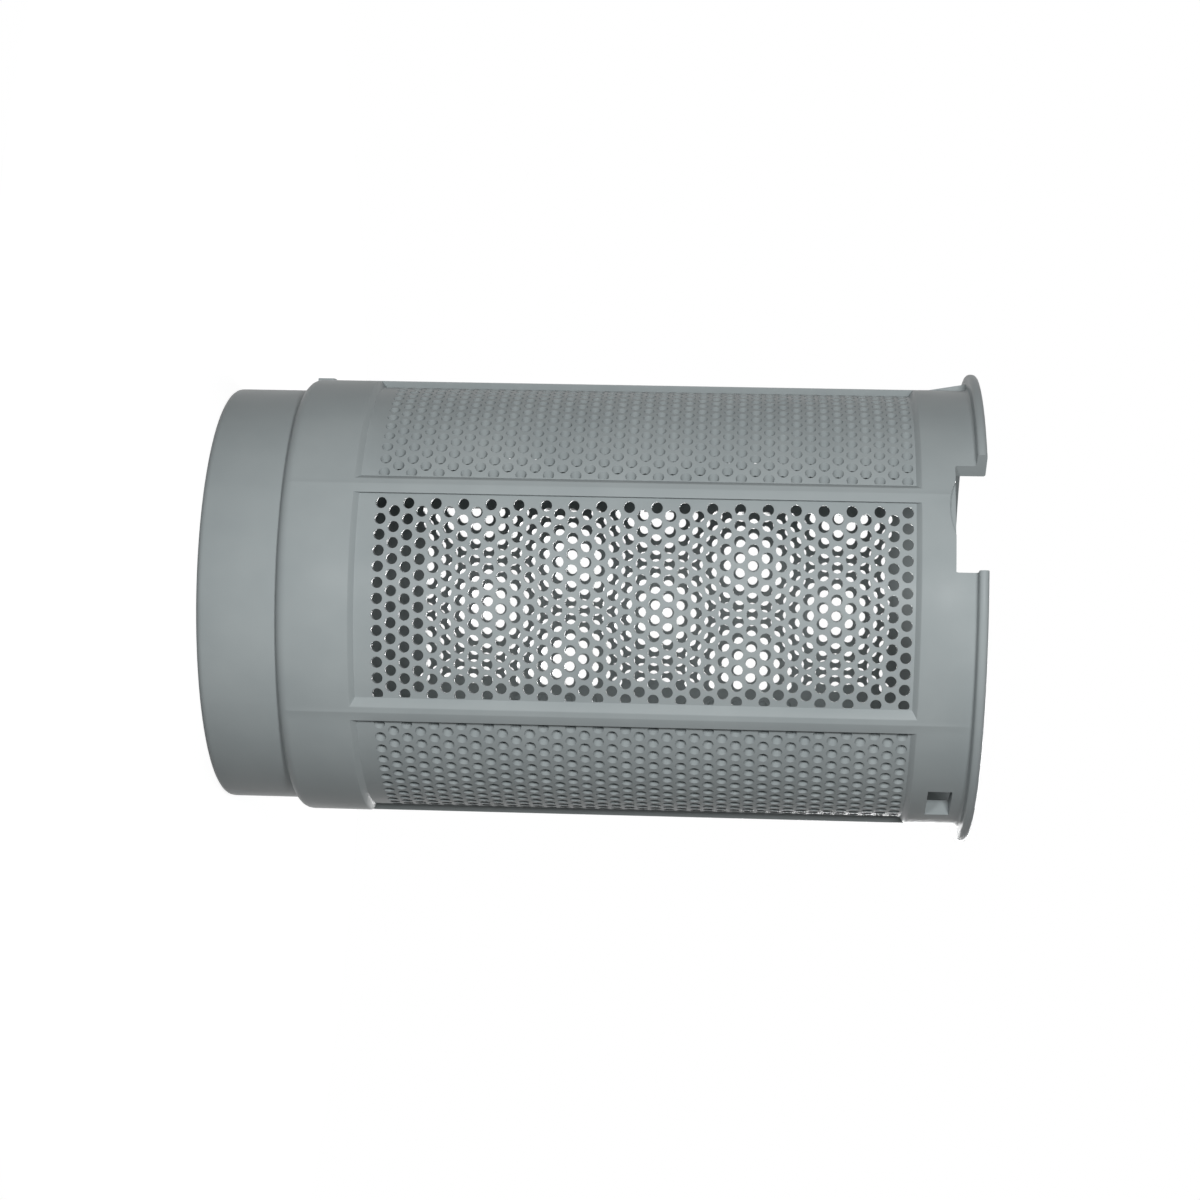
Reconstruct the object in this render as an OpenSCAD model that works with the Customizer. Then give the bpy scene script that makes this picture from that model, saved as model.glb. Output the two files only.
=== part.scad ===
// Cylindrical filter screen of a dishwasher, one injection moulding.
// It stands on its spigot end, with the flange on top. Millimetres.

/* [Body] */
// Overall length, from the spigot end to the flange's face
length = 136.6; // [110:0.1:165]
// Outside radius of the two bands and of the ribs between the panels
body_r = 40; // [39:0.1:41]
// Inside radius of the screen
bore_r = 37.3; // [36.5:0.1:38.2]
// Rounding of the shoulder above the spigot
shoulder_round = 2; // [0.3:0.1:2]

/* [Spigot] */
// Outside radius of the plain spigot
spigot_r = 38; // [37.5:0.1:38.5]
// Length of the spigot up to the shoulder
spigot_length = 14.1; // [6:0.1:30]
// Wall thickness of the spigot
spigot_wall = 2; // [1.5:0.1:3]
// Rounding of the spigot's outer end edge
spigot_round = 1.2; // [0.2:0.1:1.4]

/* [Flange] */
// Outside radius of the flange
flange_r = 43; // [42:0.1:50]
// Thickness of the flange
flange_thick = 1.7; // [1.5:0.1:4]
// Rounding of the flange's two rim edges
flange_round = 0.7; // [0.1:0.1:0.7]
// Fillet in the corner under the flange
flange_fillet = 0.6; // [0.1:0.1:1]

/* [Panels] */
// Plain band from the shoulder's foot to the panels
lower_band = 12.8; // [6:0.1:30]
// Plain band from the panels to the flange
upper_band = 9.5; // [8:0.1:30]
// Depth of the panels below the bands and ribs
panel_depth = 1.2; // [0.6:0.1:1.5]
// Slope of each panel's end walls, measured along the body
end_slope = 0.9; // [0.2:0.1:2]
// Distance from a panel's middle to its upright side wall
wall_side = 18.4; // [17.5:0.1:18.8]
// Width of the ribs between the panels
rib_width = 2.9; // [2:0.1:4]
// Width of each rib's sloped flank, which faces the next panel's holes
flank_width = 1.7; // [0.5:0.1:2.5]

/* [Holes] */
// Diameter of one hole
hole_d = 4.15; // [1.5:0.05:4.6]
// Distance between neighbouring holes
hole_pitch = 5.9; // [5.3:0.01:9]
// Plain margin below the first column of holes
first_margin = 2.9; // [0.5:0.1:6]
// Least plain margin above the last column of holes
last_margin = 0.5; // [0.3:0.1:4]
// Plain margin between the holes and the upright side wall
side_margin = 0.7; // [0.3:0.1:3]

/* [Rim cut-outs] */
// Width of the notch in the flange, as an angle
notch_angle = 29.3; // [10:0.1:40]
// Place of the notch's middle, round from the front panel's middle
notch_place = 24.1; // [20:0.05:28]
// Depth of the notch from the flange's face
notch_depth = 5.4; // [3:0.1:7]
// Length of the shallow crescent relief in the notch's floor
crescent_length = 10.4; // [6:0.1:12]
// Reach of the crescent relief below the notch's floor
crescent_reach = 1.1; // [0.5:0.1:1.6]
// Depth of the crescent relief into the wall
crescent_depth = 0.9; // [0.3:0.1:1.2]
// Place of the crescent's middle, round from the front panel's middle
crescent_place = 26.4; // [24:0.1:28]
// Width of the latch window round the band, as an angle
window_angle = 14; // [8:0.1:24]
// Height of the latch window along the body
window_height = 4.3; // [4.2:0.1:5]
// Distance from the flange's face to the window's upper edge
window_drop = 4; // [3:0.1:4.5]
// Place of the window's middle, round from the front panel's middle
window_place = -60.7; // [-70:0.1:-50]

/* [Keys] */
// Length of the ramp key under the flange
ramp_length = 6.7; // [3:0.1:8]
// Height of the ramp key where it meets the flange
ramp_height = 1.15; // [0.4:0.05:2]
// Width of the ramp key
ramp_width = 2.9; // [1:0.1:6]
// Distance from the shoulder's lower end to the low pip, in line with the ramp key
pip_start = 0.9; // [0.4:0.1:1.8]
// Length of the low pip
pip_length = 3; // [2.4:0.1:8]
// Height of the low pip
pip_height = 0.3; // [0.2:0.05:1]

/* [Hidden] */
$fn = 96;
plastic = "#9aa3a5";
panels = 6;
sector = 360 / panels;
front = 270;        // direction of the front panel's middle
beyond = 1;         // how far cutters run past what they cut
reach = 4 * beyond; // how far a slide's side runs on outside the body

spigot_bore = spigot_r - spigot_wall;
ledge_z = spigot_length + spigot_wall;
shoulder_fit = min(shoulder_round, body_r - spigot_r);
flange_z = length - flange_thick;
floor_r = body_r - panel_depth;
floor_z0 = spigot_length + lower_band + end_slope;
floor_z1 = flange_z - upper_band - end_slope;

// Rib between two panels: from one panel's upright wall to the top of the next one's sloped flank
wall_angle = asin(wall_side / body_r);
rib_angle = rib_width / body_r * 180 / PI;
flank_top_angle = sector - wall_angle - rib_angle;
rib_middle = wall_angle + rib_angle / 2;
flank_top = body_r * [cos(flank_top_angle), sin(flank_top_angle)];
flank_foot_y = flank_top.y - flank_width;
flank_foot = [sqrt(floor_r * floor_r - flank_foot_y * flank_foot_y), flank_foot_y];
flank_run = (flank_top - flank_foot) / flank_width;

column_step = hole_pitch * sqrt(3) / 2;
first_column = floor_z0 + first_margin + hole_d / 2;
columns = floor((floor_z1 - last_margin - hole_d / 2 - first_column) / column_step) + 1;
rows = floor(2 * (wall_side - side_margin - hole_d / 2) / hole_pitch) + 1;
hole_start = sqrt(bore_r * bore_r - wall_side * wall_side) - beyond;

// Rounds the outward corner at the origin, with the material below and to the left
module corner_cut(r)
    difference() {
        translate([-r, -r]) square(r + beyond);
        translate([-r, -r]) circle(r);
    }

// Fills the inward corner at the origin, with the material below and to the left
module corner_fill(r)
    difference() {
        translate([-beyond, -beyond]) square(r + beyond);
        translate([r, r]) circle(r);
    }

// Half section of the moulding, turned round the Z axis
module section()
    difference() {
        union() {
            square([spigot_r, spigot_length + beyond]);
            translate([0, spigot_length]) square([body_r, length - spigot_length]);
            translate([0, flange_z]) square([flange_r, flange_thick]);
            translate([body_r, flange_z]) mirror([0, 1]) corner_fill(flange_fillet);
        }
        translate([0, -beyond]) square([spigot_bore, length + 2 * beyond]);
        translate([0, ledge_z]) square([bore_r, length]);
        translate([spigot_r, 0]) mirror([0, 1]) corner_cut(spigot_round);
        translate([body_r, spigot_length]) mirror([0, 1]) corner_cut(shoulder_fit);
        translate([flange_r, flange_z]) mirror([0, 1]) corner_cut(flange_round);
        translate([flange_r, length]) corner_cut(flange_round);
    }

// Ring between the panels' floor and the outside, with sloped ends
module panel_ring()
    rotate_extrude()
        polygon([
            [floor_r, floor_z0], [floor_r, floor_z1],
            [body_r, floor_z1 + end_slope], [body_r + beyond, floor_z1 + end_slope],
            [body_r + beyond, floor_z0 - end_slope], [body_r, floor_z0 - end_slope],
        ]);

// One panel's share of the ring: upright wall on one side, sloped flank on the other
module panel_mould()
    linear_extrude(length)
        polygon([
            flank_foot - flank_run * (wall_side + flank_foot_y),
            [body_r + reach, -wall_side],
            [body_r + reach, flank_top.y + reach],
            flank_top + flank_run * reach,
        ]);

// One panel's holes: staggered columns, all parallel to the slide that moulds them
module panel_holes()
    for (i = [0 : columns - 1])
        let (n = rows - i % 2)
        for (j = [0 : n - 1])
            translate([hole_start, (j - (n - 1) / 2) * hole_pitch, first_column + i * column_step])
                rotate([0, 90, 0]) cylinder(d = hole_d, h = body_r + beyond - hole_start);

// Places something once per panel, with the front one first
module each_panel()
    for (k = [0 : panels - 1]) rotate(front + k * sector) children();

// Wedge with its tip on the axis, from one height to another
module radial_wedge(place, angle, z0, z1)
    translate([0, 0, z0]) rotate(front - place)
        linear_extrude(z1 - z0)
            polygon([
                [0, 0], 2 * body_r * [cos(angle / 2), -sin(angle / 2)],
                2 * body_r * [cos(angle / 2), sin(angle / 2)],
            ]);

// Crescent-shaped relief in the outside of the wall, open to the notch's floor
module crescent() {
    half = crescent_length / 2;
    r = (half * half + crescent_reach * crescent_reach) / (2 * crescent_reach);
    rotate(front - crescent_place)
        translate([body_r - crescent_depth, 0, length - notch_depth - crescent_reach + r])
            rotate([0, 90, 0]) linear_extrude(2 * crescent_depth)
                intersection() {
                    circle(r);
                    translate([r - crescent_reach - crescent_depth, -half - beyond])
                        square([r, crescent_length + 2 * beyond]);
                }
}

// Ramp key and low pip, in line with the rib beside the front panel's neighbour
module keys()
    rotate(front - rib_middle - sector) {
        translate([0, ramp_width / 2, 0]) rotate([90, 0, 0]) linear_extrude(ramp_width)
            polygon([
                [body_r - beyond, flange_z - ramp_length], [body_r, flange_z - ramp_length],
                [body_r + ramp_height, flange_z], [body_r + ramp_height, flange_z + flange_thick / 2],
                [body_r - beyond, flange_z + flange_thick / 2],
            ]);
        translate([body_r - beyond, -ramp_width / 2, spigot_length + pip_start])
            cube([beyond + pip_height, ramp_width, pip_length]);
    }

module filter_screen()
    color(plastic)
    difference() {
        union() {
            rotate_extrude() section();
            keys();
        }
        intersection() {
            panel_ring();
            each_panel() panel_mould();
        }
        each_panel() panel_holes();
        radial_wedge(notch_place, notch_angle, length - notch_depth, length + beyond);
        radial_wedge(window_place, window_angle, length - window_drop - window_height,
                     length - window_drop);
        crescent();
    }

filter_screen();
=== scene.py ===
from math import atan2, cos, degrees, pi, radians, sin, sqrt

import bmesh
import bpy
from mathutils import Matrix, Vector


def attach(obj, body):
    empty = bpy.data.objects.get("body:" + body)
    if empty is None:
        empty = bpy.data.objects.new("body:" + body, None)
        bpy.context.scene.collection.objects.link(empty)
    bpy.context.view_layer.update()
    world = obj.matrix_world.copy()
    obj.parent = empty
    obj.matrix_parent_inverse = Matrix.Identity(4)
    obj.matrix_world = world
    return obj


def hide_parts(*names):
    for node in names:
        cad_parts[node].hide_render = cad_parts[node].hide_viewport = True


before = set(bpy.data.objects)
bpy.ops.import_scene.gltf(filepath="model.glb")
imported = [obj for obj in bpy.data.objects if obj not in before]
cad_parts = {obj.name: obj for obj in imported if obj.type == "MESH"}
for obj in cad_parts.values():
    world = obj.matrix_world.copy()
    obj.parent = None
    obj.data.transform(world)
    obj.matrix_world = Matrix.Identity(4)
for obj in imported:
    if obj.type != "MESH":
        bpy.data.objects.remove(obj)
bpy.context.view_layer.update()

# The filter screen, one injection moulding in grey polypropylene, drawn upright on its spigot.
# Six slides form its outside, so each panel's holes run parallel to that panel's own slide, and
# a fine parting line is left on the ribs and bands wherever two slides meet. In millimetres.
BODY_R, FLOOR_R, BORE_R = 40.0, 38.8, 37.3
PANELS = 6
FRONT = 270                              # direction of the front panel's middle, in degrees

# One panel's sheet of holes: 39 columns along the body, of 13 and 12 holes in turn.
PITCH = 2.772
HOLE_R = 0.997                           # twelve sides, as open as a round hole of 1.95
COLUMNS, ROWS = 39, 13
FIRST_Z = 31.83
STEP_Z = PITCH * sqrt(3) / 2

# The recess that holds them: upright wall on one side, sloped flank on the other, sloped ends.
WALL_Y, FLANK_FOOT_Y, FLANK_TOP_Y = -18.4, 17.36, 19.06
FLOOR_Z, TOP_Z = (27.8, 124.5), (26.9, 125.4)
ACROSS, ALONG = 16, 20                   # edges round a panel's outline


def verts_of(geom):
    return [g for g in geom if isinstance(g, bmesh.types.BMVert)]


def edges_of(geom):
    return [g for g in geom if isinstance(g, bmesh.types.BMEdge)]


def faces_of(geom):
    return [g for g in geom if isinstance(g, bmesh.types.BMFace)]


def rows_of(bm, geom, step, times):
    """Repeats some cells of a sheet, one step further each time."""
    made = list(geom)
    for n in range(1, times):
        copy = bmesh.ops.duplicate(bm, geom=geom)["geom"]
        bmesh.ops.translate(bm, verts=verts_of(copy), vec=Vector(step) * n)
        made += copy
    return made


# A cell is a hexagon with the hole inset in it; the sheet is still flat, with the slide along X.
body = bmesh.new()
bmesh.ops.create_circle(body, cap_ends=True, segments=6, radius=PITCH / sqrt(3))
bmesh.ops.rotate(body, verts=body.verts, matrix=Matrix.Rotation(pi / 2, 3, "Y"))
corner = max(body.verts, key=lambda v: v.co.z)
bmesh.ops.rotate(body, verts=body.verts,
                 matrix=Matrix.Rotation(atan2(corner.co.y, corner.co.z), 3, "X"))
bmesh.ops.inset_individual(body, faces=body.faces[:], thickness=PITCH / 2 - HOLE_R * cos(pi / 6))
middle = min(body.faces, key=lambda f: f.calc_area() if len(f.verts) == 6 else 99)
bmesh.ops.bisect_edges(body, edges=middle.edges[:], cuts=1)
for v in middle.verts:
    v.co *= HOLE_R / v.co.length
bmesh.ops.delete(body, geom=[middle], context="FACES_ONLY")

cell = body.verts[:] + body.edges[:] + body.faces[:]
short = bmesh.ops.duplicate(body, geom=cell)["geom"]
bmesh.ops.translate(body, verts=verts_of(cell), vec=(0, (1 - ROWS) / 2 * PITCH, FIRST_Z))
bmesh.ops.translate(body, verts=verts_of(short), vec=(0, (2 - ROWS) / 2 * PITCH, FIRST_Z + STEP_Z))
column = rows_of(body, cell, (0, PITCH, 0), ROWS)
short_column = rows_of(body, short, (0, PITCH, 0), ROWS - 1)
rows_of(body, column, (0, 0, 2 * STEP_Z), (COLUMNS + 1) // 2)
rows_of(body, short_column, (0, 0, 2 * STEP_Z), COLUMNS // 2)
bmesh.ops.remove_doubles(body, verts=body.verts, dist=0.02)

# The sheet is pulled through to its inner face, which draws the holes' walls.
DEEP = 5.0
pulled = bmesh.ops.extrude_face_region(body, geom=body.faces[:], use_keep_orig=True)["geom"]
bmesh.ops.translate(body, verts=verts_of(pulled), vec=(-DEEP, 0, 0))
edge_walls = [f for f in body.faces if len(f.verts) == 4 and f.calc_area() > 1.2 * DEEP]
bmesh.ops.delete(body, geom=edge_walls, context="FACES")
for v in body.verts:
    if v.co.x > -1:                      # the flank's foot just touches the last row of holes
        v.co.y = min(v.co.y, FLANK_FOOT_Y - (0.06 if v.is_boundary and len(v.link_edges) < 4 else 0.14))


def margin(x, low_y, high_y, cuts_across):
    """Fills one face of the sheet from its outermost cells out to a rectangle."""
    cells = [e for e in body.edges
             if e.is_boundary and e.calc_length() > 0.7 and abs(e.verts[0].co.x - x) < 0.1]
    corners = bmesh.ops.create_circle(body, segments=4, radius=1)["verts"]
    for v, (y, z) in zip(corners, ((low_y, 0), (high_y, 0), (high_y, 1), (low_y, 1))):
        v.co = (x, y, FLOOR_Z[z])
    sides = list({e for v in corners for e in v.link_edges})
    ends = [e for e in sides if abs(e.verts[0].co.z - e.verts[1].co.z) < 0.1]
    longs = [e for e in sides if e not in ends]
    line = set(sides)
    line |= set(edges_of(bmesh.ops.bisect_edges(body, edges=ends, cuts=cuts_across - 1)["geom_split"]))
    line |= set(edges_of(bmesh.ops.bisect_edges(body, edges=longs, cuts=ALONG - 1)["geom_split"]))
    bmesh.ops.triangle_fill(body, use_beauty=True, edges=list(line) + cells, normal=(1, 0, 0))
    return list(line)


def polar(r, angle, z):
    return Vector((r * cos(radians(angle)), r * sin(radians(angle)), z))


def angle_of(co):
    return degrees(atan2(co.y, co.x))


def drawn_out(edges, place):
    """Extrudes an open edge of the wall, and puts each new corner where place says."""
    new = bmesh.ops.extrude_edge_only(body, edges=edges)["geom"]
    fresh = set(verts_of(new))
    for v in fresh:
        v.co = place(v.co.copy())
    return [e for e in edges_of(new) if e.verts[0] in fresh and e.verts[1] in fresh]


# The inner face reaches to the next sectors; then both faces are bent to their own radius.
HALF = 180 / PANELS
BORE_Y = BORE_R * sin(radians(HALF))
floor_line = margin(0, WALL_Y, FLANK_FOOT_Y, ACROSS)
bore_line = margin(-DEEP, -BORE_Y, BORE_Y, ACROSS + 4)
for v in body.verts:
    v.co.x = sqrt((FLOOR_R if v.co.x > -1 else BORE_R) ** 2 - v.co.y ** 2)


# The recess's four sides rise to the body, and the ribs run on to the parting line, which
# stands 0.04 proud.
def up_the_sides(co):
    across = (co.y - WALL_Y) / (FLANK_FOOT_Y - WALL_Y)
    along = (co.z - FLOOR_Z[0]) / (FLOOR_Z[1] - FLOOR_Z[0])
    y = WALL_Y + across * (FLANK_TOP_Y - WALL_Y)
    return Vector((sqrt(BODY_R ** 2 - y ** 2), y, TOP_Z[0] + along * (TOP_Z[1] - TOP_Z[0])))


LINE_PROUD, LINE_SIDE = 0.04, 0.2        # height in millimetres, half width in degrees
top_line = drawn_out(floor_line, up_the_sides)
for side, y in ((-1, WALL_Y), (1, FLANK_TOP_Y)):
    edge = [e for e in top_line if all(abs(v.co.y - y) < 0.001 for v in e.verts)]
    edge = drawn_out(edge, lambda co: polar(BODY_R, side * (HALF - LINE_SIDE), co.z))
    drawn_out(edge, lambda co: polar(BODY_R + LINE_PROUD, side * HALF, co.z))


def open_edge(z, low_r, high_r):
    """The open edge of the wall at one height, between two radii."""
    return [e for e in body.edges if e.is_boundary
            and all(abs(v.co.z - z) < 0.001 and low_r < v.co.xy.length < high_r for v in e.verts)]


# The bands close the sector below and above the recess, outside and inside.
SHOULDER_Z, FLANGE_Z, LENGTH = 16.1, 134.9, 136.6
FILLET_R, RIM_R, LIP = 0.6, 0.7, 0.3
stations = sorted({round(angle_of(v.co), 4) for e in open_edge(TOP_Z[0], 39, 41) for v in e.verts})
drawn_out(open_edge(TOP_Z[0], 39, 41), lambda co: Vector((co.x, co.y, SHOULDER_Z)))
upper = drawn_out(open_edge(TOP_Z[1], 39, 41), lambda co: Vector((co.x, co.y, 130)))
drawn_out(upper, lambda co: polar(BODY_R, angle_of(co), FLANGE_Z - FILLET_R))
for z, new_z in ((FLOOR_Z[0], SHOULDER_Z), (FLOOR_Z[1], LENGTH - LIP)):
    edge = open_edge(z, 37, 38)
    order = sorted({v.co.y for e in edge for v in e.verts})

    def station(co):
        """The outside's direction that has the same turn in order as a corner of the inner face."""
        return stations[min(range(len(order)), key=lambda n: abs(order[n] - co.y))]

    drawn_out(edge, lambda co: polar(BORE_R, station(co), new_z))

# Six sectors make the body.
sector = body.verts[:] + body.edges[:] + body.faces[:]
for n in range(1, PANELS):
    copy = bmesh.ops.duplicate(body, geom=sector)["geom"]
    bmesh.ops.rotate(body, verts=verts_of(copy), matrix=Matrix.Rotation(radians(n * 2 * HALF), 3, "Z"))
bmesh.ops.rotate(body, verts=body.verts, matrix=Matrix.Rotation(radians(FRONT), 3, "Z"))
bmesh.ops.remove_doubles(body, verts=[v for v in body.verts if v.is_boundary], dist=0.003)


# The shoulder, spigot and flange are rings, each drawn from the one before.
def arc(r, z, radius, start, end, steps):
    """Points of a rounding in the section, after its first, by angle from the outward side."""
    turns = [start + (end - start) * n / steps for n in range(1, steps + 1)]
    return [(r + radius * cos(radians(t)), z + radius * sin(radians(t))) for t in turns]


def rings(edge, section):
    for r, z in section:
        edge = drawn_out(edge, lambda co: polar(r, angle_of(co), z))
    return edge


SPIGOT_R, SPIGOT_BORE, SHOULDER_R, SPIGOT_ROUND = 38.0, 36.0, 2.0, 1.2
FLANGE_R = 43.0
rings(open_edge(SHOULDER_Z, 39, 41),
      arc(BODY_R - SHOULDER_R, SHOULDER_Z, SHOULDER_R, 0, -90, 5)
             + [(SPIGOT_R, SPIGOT_ROUND)]
             + arc(SPIGOT_R - SPIGOT_ROUND, SPIGOT_ROUND, SPIGOT_ROUND, 0, -90, 4)
             + [(SPIGOT_BORE + LIP, 0), (SPIGOT_BORE, LIP), (SPIGOT_BORE, SHOULDER_Z), (BORE_R, SHOULDER_Z)])
rings(open_edge(FLANGE_Z - FILLET_R, 39, 41),
      arc(BODY_R + FILLET_R, FLANGE_Z - FILLET_R, FILLET_R, 180, 90, 3)
            + [(FLANGE_R - RIM_R, FLANGE_Z)]
            + arc(FLANGE_R - RIM_R, FLANGE_Z + RIM_R, RIM_R, -90, 0, 3)
            + [(FLANGE_R, LENGTH - RIM_R)]
            + arc(FLANGE_R - RIM_R, LENGTH - RIM_R, RIM_R, 0, 90, 3)
            + [(BORE_R + LIP, LENGTH), (BORE_R, LENGTH - LIP)])
bmesh.ops.remove_doubles(body, verts=[v for v in body.verts if v.is_boundary], dist=0.003)
bmesh.ops.recalc_face_normals(body, faces=body.faces)


# The rim's cut-outs: nearby faces are parted along each cut's planes, and the gap gets its walls.
def around(angle, half, low_z, high_z, low_r=0):
    """The faces whose middles lie within half degrees of angle, between two heights."""
    found = []
    for f in body.faces:
        middle = f.calc_center_median()
        off = (angle_of(middle) - angle + 180) % 360 - 180
        if low_z < middle.z < high_z and abs(off) < half and middle.xy.length > low_r:
            found.append(f)
    return found


def part(faces, point, normal):
    """Parts faces along a plane."""
    near = {g for f in faces for g in (f, *f.edges, *f.verts)}
    bmesh.ops.bisect_plane(body, geom=list(near), dist=1e-4, plane_co=point, plane_no=normal)


def close_wall(point, normal):
    """Joins the open edges that lie in a plane into one face."""
    loop = [e for e in body.edges if len(e.link_faces) < 2
            and all(abs((v.co - Vector(point)).dot(Vector(normal))) < 0.002 for v in e.verts)]
    bmesh.ops.contextual_create(body, geom=loop)


def join_corner(angle, z):
    """Draws the edge through the wall's thickness, from its outer to its inner face."""
    ends = [min(body.verts, key=lambda v: (v.co - polar(r, angle, z)).length) for r in (BODY_R, BORE_R)]
    return edges_of(bmesh.ops.contextual_create(body, geom=ends)["edges"])


UP = Vector((0, 0, 1))
NOTCH, NOTCH_Z = (231.25, 260.55), 131.2
WINDOW, WINDOW_Z = (323.7, 337.7), (128.3, 132.6)
BAND_Z = 124                             # below every face of the upper band, inside and outside

part(around(sum(NOTCH) / 2, 18, BAND_Z, LENGTH), (0, 0, NOTCH_Z), UP)
for angle in NOTCH:
    part(around(angle, 4, NOTCH_Z, LENGTH + 1), (0, 0, 0), polar(1, angle + 90, 0))
bmesh.ops.delete(body, context="FACES",
                 geom=around(sum(NOTCH) / 2, (NOTCH[1] - NOTCH[0]) / 2, NOTCH_Z, LENGTH + 1))

# A shallow crescent below the notch's floor, cut flat into the outside of the wall.
CRESCENT, CRESCENT_HALF, CRESCENT_REACH, CRESCENT_FLAT = 243.6, 5.2, 1.1, 39.1
CHORDS = 8
crescent_r = (CRESCENT_HALF ** 2 + CRESCENT_REACH ** 2) / (2 * CRESCENT_REACH)
outward, sideways = polar(1, CRESCENT, 0), polar(1, CRESCENT + 90, 0)
turns = [CRESCENT_HALF * (2 * n / CHORDS - 1) for n in range(CHORDS + 1)]
arc_points = [sideways * t + UP * (NOTCH_Z - CRESCENT_REACH + crescent_r - sqrt(crescent_r ** 2 - t ** 2))
              for t in turns]
for t in turns:
    part(around(CRESCENT, 12, 130, NOTCH_Z, 39), sideways * t, sideways)
relief = []
for start, end in zip(arc_points, arc_points[1:]):
    across = (end - start).cross(outward).normalized()
    across *= 1 if across.z > 0 else -1

    def under(f):
        return start.dot(sideways) < f.calc_center_median().dot(sideways) < end.dot(sideways)

    part([f for f in around(CRESCENT, 12, 130, NOTCH_Z, 39) if under(f)], start, across)
    relief += [f for f in around(CRESCENT, 12, 130, NOTCH_Z, 39)
               if under(f) and (f.calc_center_median() - start).dot(across) > 0]
sunk = bmesh.ops.extrude_face_region(body, geom=relief, use_keep_orig=True)["geom"]
bmesh.ops.delete(body, geom=relief, context="FACES")
for v in verts_of(sunk):
    v.co += outward * (CRESCENT_FLAT - v.co.dot(outward))
bmesh.ops.delete(body, context="FACES_ONLY",
                 geom=[f for f in body.faces if all(abs(v.co.z - NOTCH_Z) < 0.001 for v in f.verts)])
bmesh.ops.delete(body, context="EDGES", geom=[e for e in body.edges if e.is_wire])

notch_corners = [e for angle in NOTCH for e in join_corner(angle, NOTCH_Z)]
for angle in NOTCH:
    close_wall((0, 0, 0), polar(1, angle + 90, 0))
close_wall((0, 0, NOTCH_Z), UP)

for z in WINDOW_Z:
    part(around(sum(WINDOW) / 2, 10, BAND_Z, FLANGE_Z - FILLET_R), (0, 0, z), UP)
for angle in WINDOW:
    part(around(angle, 4, *WINDOW_Z), (0, 0, 0), polar(1, angle + 90, 0))
bmesh.ops.delete(body, context="FACES",
                 geom=around(sum(WINDOW) / 2, (WINDOW[1] - WINDOW[0]) / 2, *WINDOW_Z))
for angle in WINDOW:
    for z in WINDOW_Z:
        join_corner(angle, z)
    close_wall((0, 0, 0), polar(1, angle + 90, 0))
for z in WINDOW_Z:
    close_wall((0, 0, z), UP)

# The ramp key under the flange and the low pip on the shoulder, one above the other on a rib.
KEY, KEY_HALF, KEY_SIDE = 180.54, 1.45, 0.04
RAMP_Z, RAMP_HEIGHT = 128.2, 1.15
PIP_Z, PIP_HEIGHT = (15.0, 18.0), 0.3
outward, sideways = polar(1, KEY, 0), polar(1, KEY + 90, 0)


def key(low_z, high_z, cuts, face_of):
    """Raises a narrow strip of the outside to the face that face_of gives at each height."""
    for t in (-KEY_HALF - KEY_SIDE, -KEY_HALF, KEY_HALF, KEY_HALF + KEY_SIDE):
        part(around(KEY, 7, low_z, high_z, 38.05), sideways * t, sideways)
    for z in cuts:
        strip = [f for f in around(KEY, 7, low_z, high_z, 38.05)
                 if abs(f.calc_center_median().dot(sideways)) < KEY_HALF + KEY_SIDE]
        part(strip, (0, 0, z), UP)
    for f in around(KEY, 7, low_z, high_z, 38.05):
        for v in f.verts:
            if abs(v.co.dot(sideways)) < KEY_HALF + 0.001 and face_of(v.co.z) > v.co.dot(outward):
                v.co += outward * (face_of(v.co.z) - v.co.dot(outward))


def ramp(z):
    share = (z - RAMP_Z) / (FLANGE_Z - RAMP_Z)
    return BODY_R + RAMP_HEIGHT * share if -0.001 < share < 1.001 else 0


def pip(z):
    return BODY_R + PIP_HEIGHT if PIP_Z[0] - 0.001 < z < PIP_Z[1] + 0.001 else 0


key(TOP_Z[1], FLANGE_Z + 0.001, (RAMP_Z,), ramp)
key(SHOULDER_Z - SHOULDER_R, TOP_Z[0],
    (PIP_Z[0] - KEY_SIDE, PIP_Z[0], PIP_Z[1], PIP_Z[1] + KEY_SIDE), pip)

bmesh.ops.recalc_face_normals(body, faces=body.faces)

# The mould leaves the recesses' outer edges a little round, and the notch's two inner corners.
EDGE_ROUND, NOTCH_ROUND = 0.15, 0.5
outlines = [e for e in body.edges if e.is_manifold and e.calc_face_angle() > 0.5
            and all(abs(v.co.xy.length - BODY_R) < 0.01
                    and TOP_Z[0] - 0.01 < v.co.z < TOP_Z[1] + 0.01 for v in e.verts)]
bmesh.ops.bevel(body, geom=outlines, offset=EDGE_ROUND, offset_type="OFFSET", segments=2,
                profile=0.5, affect="EDGES", material=-1)
bmesh.ops.bevel(body, geom=[e for e in notch_corners if e.is_valid], offset=NOTCH_ROUND,
                offset_type="OFFSET", segments=3, profile=0.5, affect="EDGES", material=-1)
bmesh.ops.recalc_face_normals(body, faces=body.faces)
for f in body.faces:
    f.smooth = True
for e in body.edges:
    e.smooth = e.calc_face_angle(0) < radians(35)

MM = 0.001
bmesh.ops.scale(body, verts=body.verts, vec=(MM, MM, MM))
moulding = bpy.data.meshes.new("screen_moulding")
body.to_mesh(moulding)
body.free()
screen = bpy.data.objects.new("screen_moulding", moulding)
bpy.context.scene.collection.objects.link(screen)
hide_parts("filter_screen")
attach(screen, "root")


def linear(code):
    """A colour written as sRGB hex, in linear light."""
    parts = [int(code[n:n + 2], 16) / 255 for n in (1, 3, 5)]
    return [c / 12.92 if c < 0.04045 else ((c + 0.055) / 1.055) ** 2.4 for c in parts] + [1]


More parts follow.
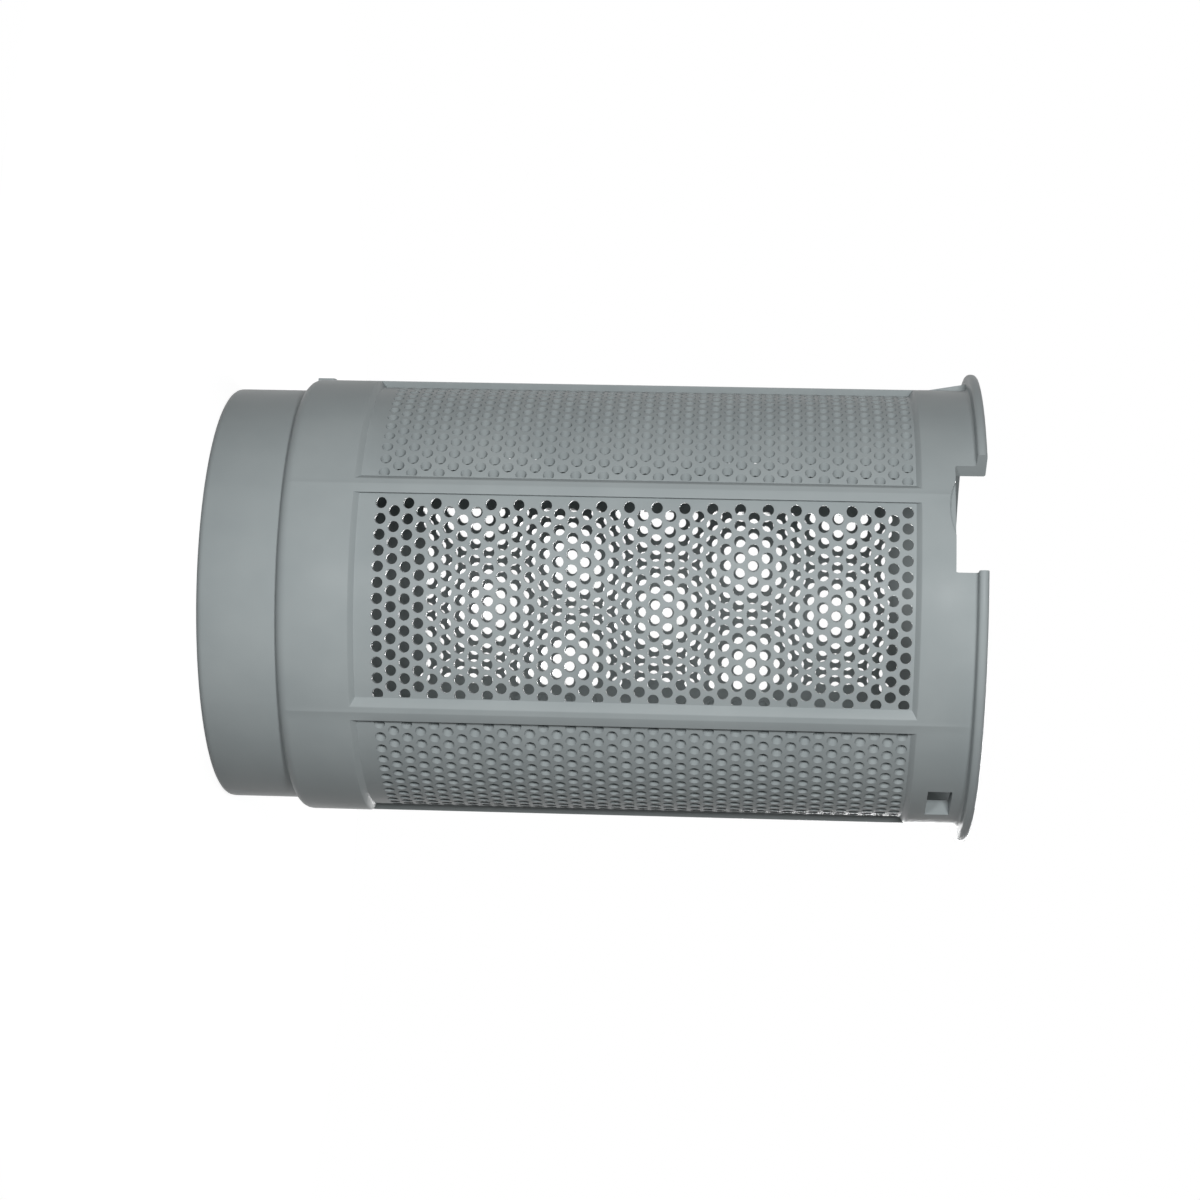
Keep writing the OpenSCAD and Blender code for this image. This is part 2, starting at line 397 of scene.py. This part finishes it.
def add_node(tree, kind, inputs, **settings):
    """Adds a node with its settings, and sets or links its inputs."""
    node = tree.nodes.new(kind)
    for name, value in settings.items():
        setattr(node, name, value)
    for name, value in inputs.items():
        if isinstance(value, bpy.types.NodeSocket):
            tree.links.new(value, node.inputs[name])
        else:
            node.inputs[name].default_value = value
    return node


# Moulded polypropylene, grey with a blue cast, from a finely spark-eroded mould: satin, with a
# grain of about a third of a millimetre, and broad soft patches where the flow cooled unevenly.
GRAIN, FLOW, PATCH = 0.35 * MM, 5 * MM, 14 * MM
satin = bpy.data.materials.new("moulded_grey_polypropylene")
satin.use_nodes = True
tree = satin.node_tree
tree.nodes.clear()
place = add_node(tree, "ShaderNodeTexCoord", {}).outputs["Object"]
patches = add_node(tree, "ShaderNodeTexNoise", {"Vector": place, "Scale": 1 / PATCH, "Detail": 3.0})
tint = add_node(tree, "ShaderNodeMix", {"Factor": patches.outputs["Fac"], "A": linear("#8f9799"),
                                        "B": linear("#a1a8a9")}, data_type="RGBA")
gloss = add_node(tree, "ShaderNodeMapRange", {"Value": patches.outputs["Fac"], "From Min": 0.3,
                                              "From Max": 0.7, "To Min": 0.30, "To Max": 0.38})
flow = add_node(tree, "ShaderNodeTexNoise", {"Vector": place, "Scale": 1 / FLOW, "Detail": 2.0})
grain = add_node(tree, "ShaderNodeTexNoise", {"Vector": place, "Scale": 1 / GRAIN, "Detail": 2.0})
waves = add_node(tree, "ShaderNodeBump", {"Height": flow.outputs["Fac"], "Strength": 0.5,
                                          "Distance": 0.05 * MM})
relief_bump = add_node(tree, "ShaderNodeBump", {"Height": grain.outputs["Fac"], "Strength": 0.35,
                                                "Distance": 0.012 * MM,
                                                "Normal": waves.outputs["Normal"]})
surface = add_node(tree, "ShaderNodeBsdfPrincipled", {
    "Base Color": tint.outputs[2], "Roughness": gloss.outputs["Result"], "IOR": 1.49,
    "Specular IOR Level": 0.06, "Normal": relief_bump.outputs["Normal"]})
add_node(tree, "ShaderNodeOutputMaterial", {"Surface": surface.outputs["BSDF"]})
moulding.materials.append(satin)


# The floor is a pale disc under the spigot's end. It and the world are white to the camera, and
# the floor keeps a little of its light for the screen's shadow.
def seen_directly(tree):
    """1 for a ray from the camera, or one that a surface reflects or lets through."""
    rays = add_node(tree, "ShaderNodeLightPath", {})
    first = add_node(tree, "ShaderNodeMath", {0: rays.outputs["Is Camera Ray"],
                                              1: rays.outputs["Is Glossy Ray"]}, operation="MAXIMUM")
    return add_node(tree, "ShaderNodeMath", {0: first.outputs[0],
                                             1: rays.outputs["Is Transmission Ray"]},
                    operation="MAXIMUM").outputs[0]


FLOOR_R_MM, FLOOR_GLOW = 170, 0.90
ground = bmesh.new()
bmesh.ops.create_circle(ground, cap_ends=True, segments=128, radius=FLOOR_R_MM * MM)
floor_mesh = bpy.data.meshes.new("floor")
ground.to_mesh(floor_mesh)
ground.free()
floor = bpy.data.objects.new("floor", floor_mesh)
bpy.context.scene.collection.objects.link(floor)
paper = bpy.data.materials.new("matt_paper")
paper.use_nodes = True
tree = paper.node_tree
tree.nodes.clear()
matt = add_node(tree, "ShaderNodeBsdfDiffuse", {"Color": linear("#8c8c8c")})
glow = add_node(tree, "ShaderNodeEmission", {"Color": linear("#ffffff"), "Strength": FLOOR_GLOW})
both = add_node(tree, "ShaderNodeAddShader", {0: matt.outputs[0], 1: glow.outputs[0]})
shown = add_node(tree, "ShaderNodeMixShader", {0: seen_directly(tree), 1: matt.outputs[0],
                                               2: both.outputs[0]})
add_node(tree, "ShaderNodeOutputMaterial", {"Surface": shown.outputs[0]})
floor_mesh.materials.append(paper)

AMBIENT = 0.10
world = bpy.data.worlds.new("white_studio")
bpy.context.scene.world = world
world.use_nodes = True
tree = world.node_tree
tree.nodes.clear()
white = add_node(tree, "ShaderNodeBackground", {"Color": linear("#ffffff"), "Strength": 1.0})
dim = add_node(tree, "ShaderNodeBackground", {"Color": linear("#f4f1ee"), "Strength": AMBIENT})
air = add_node(tree, "ShaderNodeMixShader", {0: seen_directly(tree), 1: dim.outputs[0],
                                             2: white.outputs[0]})
add_node(tree, "ShaderNodeOutputWorld", {"Surface": air.outputs[0]})


def lamp(name, place, size, power):
    """A round soft lamp that faces the middle of the screen."""
    light = bpy.data.lights.new(name, "AREA")
    light.shape, light.size, light.energy = "DISK", size * MM, power
    holder = bpy.data.objects.new(name, light)
    holder.location = place * MM
    aim = polar(0, 0, LENGTH / 2) - place
    holder.rotation_euler = aim.to_track_quat("-Z", "Y").to_euler()
    bpy.context.scene.collection.objects.link(holder)


# The photograph's light comes from close beside the camera, stronger towards the flange; a lamp
# behind keeps the back readable.
lamp("key", polar(360, 263.4, 156), 60, 0.75)
lamp("fill", polar(360, 261, 20), 60, 0.36)
lamp("back", polar(600, 80, 200), 300, 3.0)

# The camera looks square at the screen's side, rolled so that its axis lies across the picture.
CAMERA_ANGLE, CAMERA_Z, CAMERA_AWAY = 269.18, 96.0, 498.1
SWING, TILT, LENS, SENSOR = radians(3.18), radians(1.243), 80.32, 36.0
towards, upward = polar(1, CAMERA_ANGLE, 0), polar(1, CAMERA_ANGLE - 90, 0)
back = towards * cos(SWING) + UP * sin(SWING)
level = UP * cos(SWING) - towards * sin(SWING)
right = level * cos(TILT) + upward * sin(TILT)
top = upward * cos(TILT) - level * sin(TILT)
eye = bpy.data.cameras.new("photograph_view")
eye.lens, eye.sensor_width, eye.sensor_fit = LENS, SENSOR, "HORIZONTAL"
eye.clip_start, eye.clip_end = 0.01, 20
camera = bpy.data.objects.new("photograph_view", eye)
turn = Matrix((right, top, back)).transposed().to_4x4()
camera.matrix_world = Matrix.Translation((towards * CAMERA_AWAY + UP * CAMERA_Z) * MM) @ turn
bpy.context.scene.collection.objects.link(camera)
bpy.context.scene.camera = camera
bpy.context.scene.view_settings.view_transform = "Standard"
